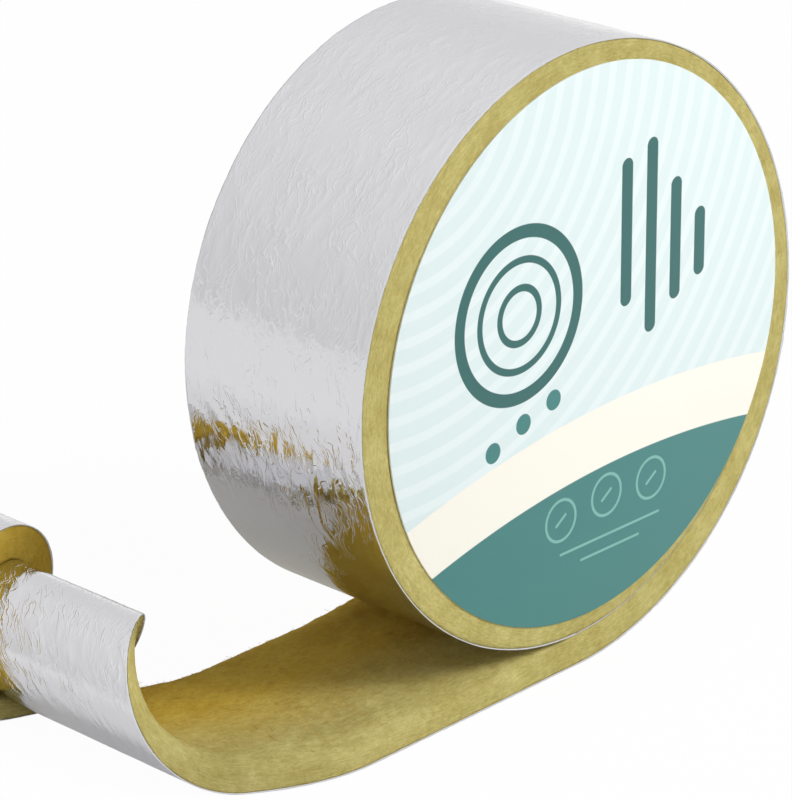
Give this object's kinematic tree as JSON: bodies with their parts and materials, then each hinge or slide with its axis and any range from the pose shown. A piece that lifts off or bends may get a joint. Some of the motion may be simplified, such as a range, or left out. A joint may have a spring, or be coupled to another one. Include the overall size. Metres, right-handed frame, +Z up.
{
  "type": "insulation roll",
  "caption": "Roll of foil-faced glass-fibre strip for wrapping pipes, with a paper label on one end, a flat tail and a curled free end.",
  "frame": {"origin": "middle of the roll's bore", "axes": "+Y along the bore to its open end, away from the label; +Z up; the tail runs off along -X"},
  "size_m": [0.2725, 0.2167, 0.2095],
  "materials": {
    "fiberglass_blanket": "matt, fibrous",
    "foil_facing": "crinkled, satin",
    "end_label": "smooth, printed"
  },
  "bodies": {
    "root": {"fiberglass_blanket": "fiberglass_blanket", "foil_facing": "foil_facing", "end_label": "end_label"}
  },
  "joints": []
}
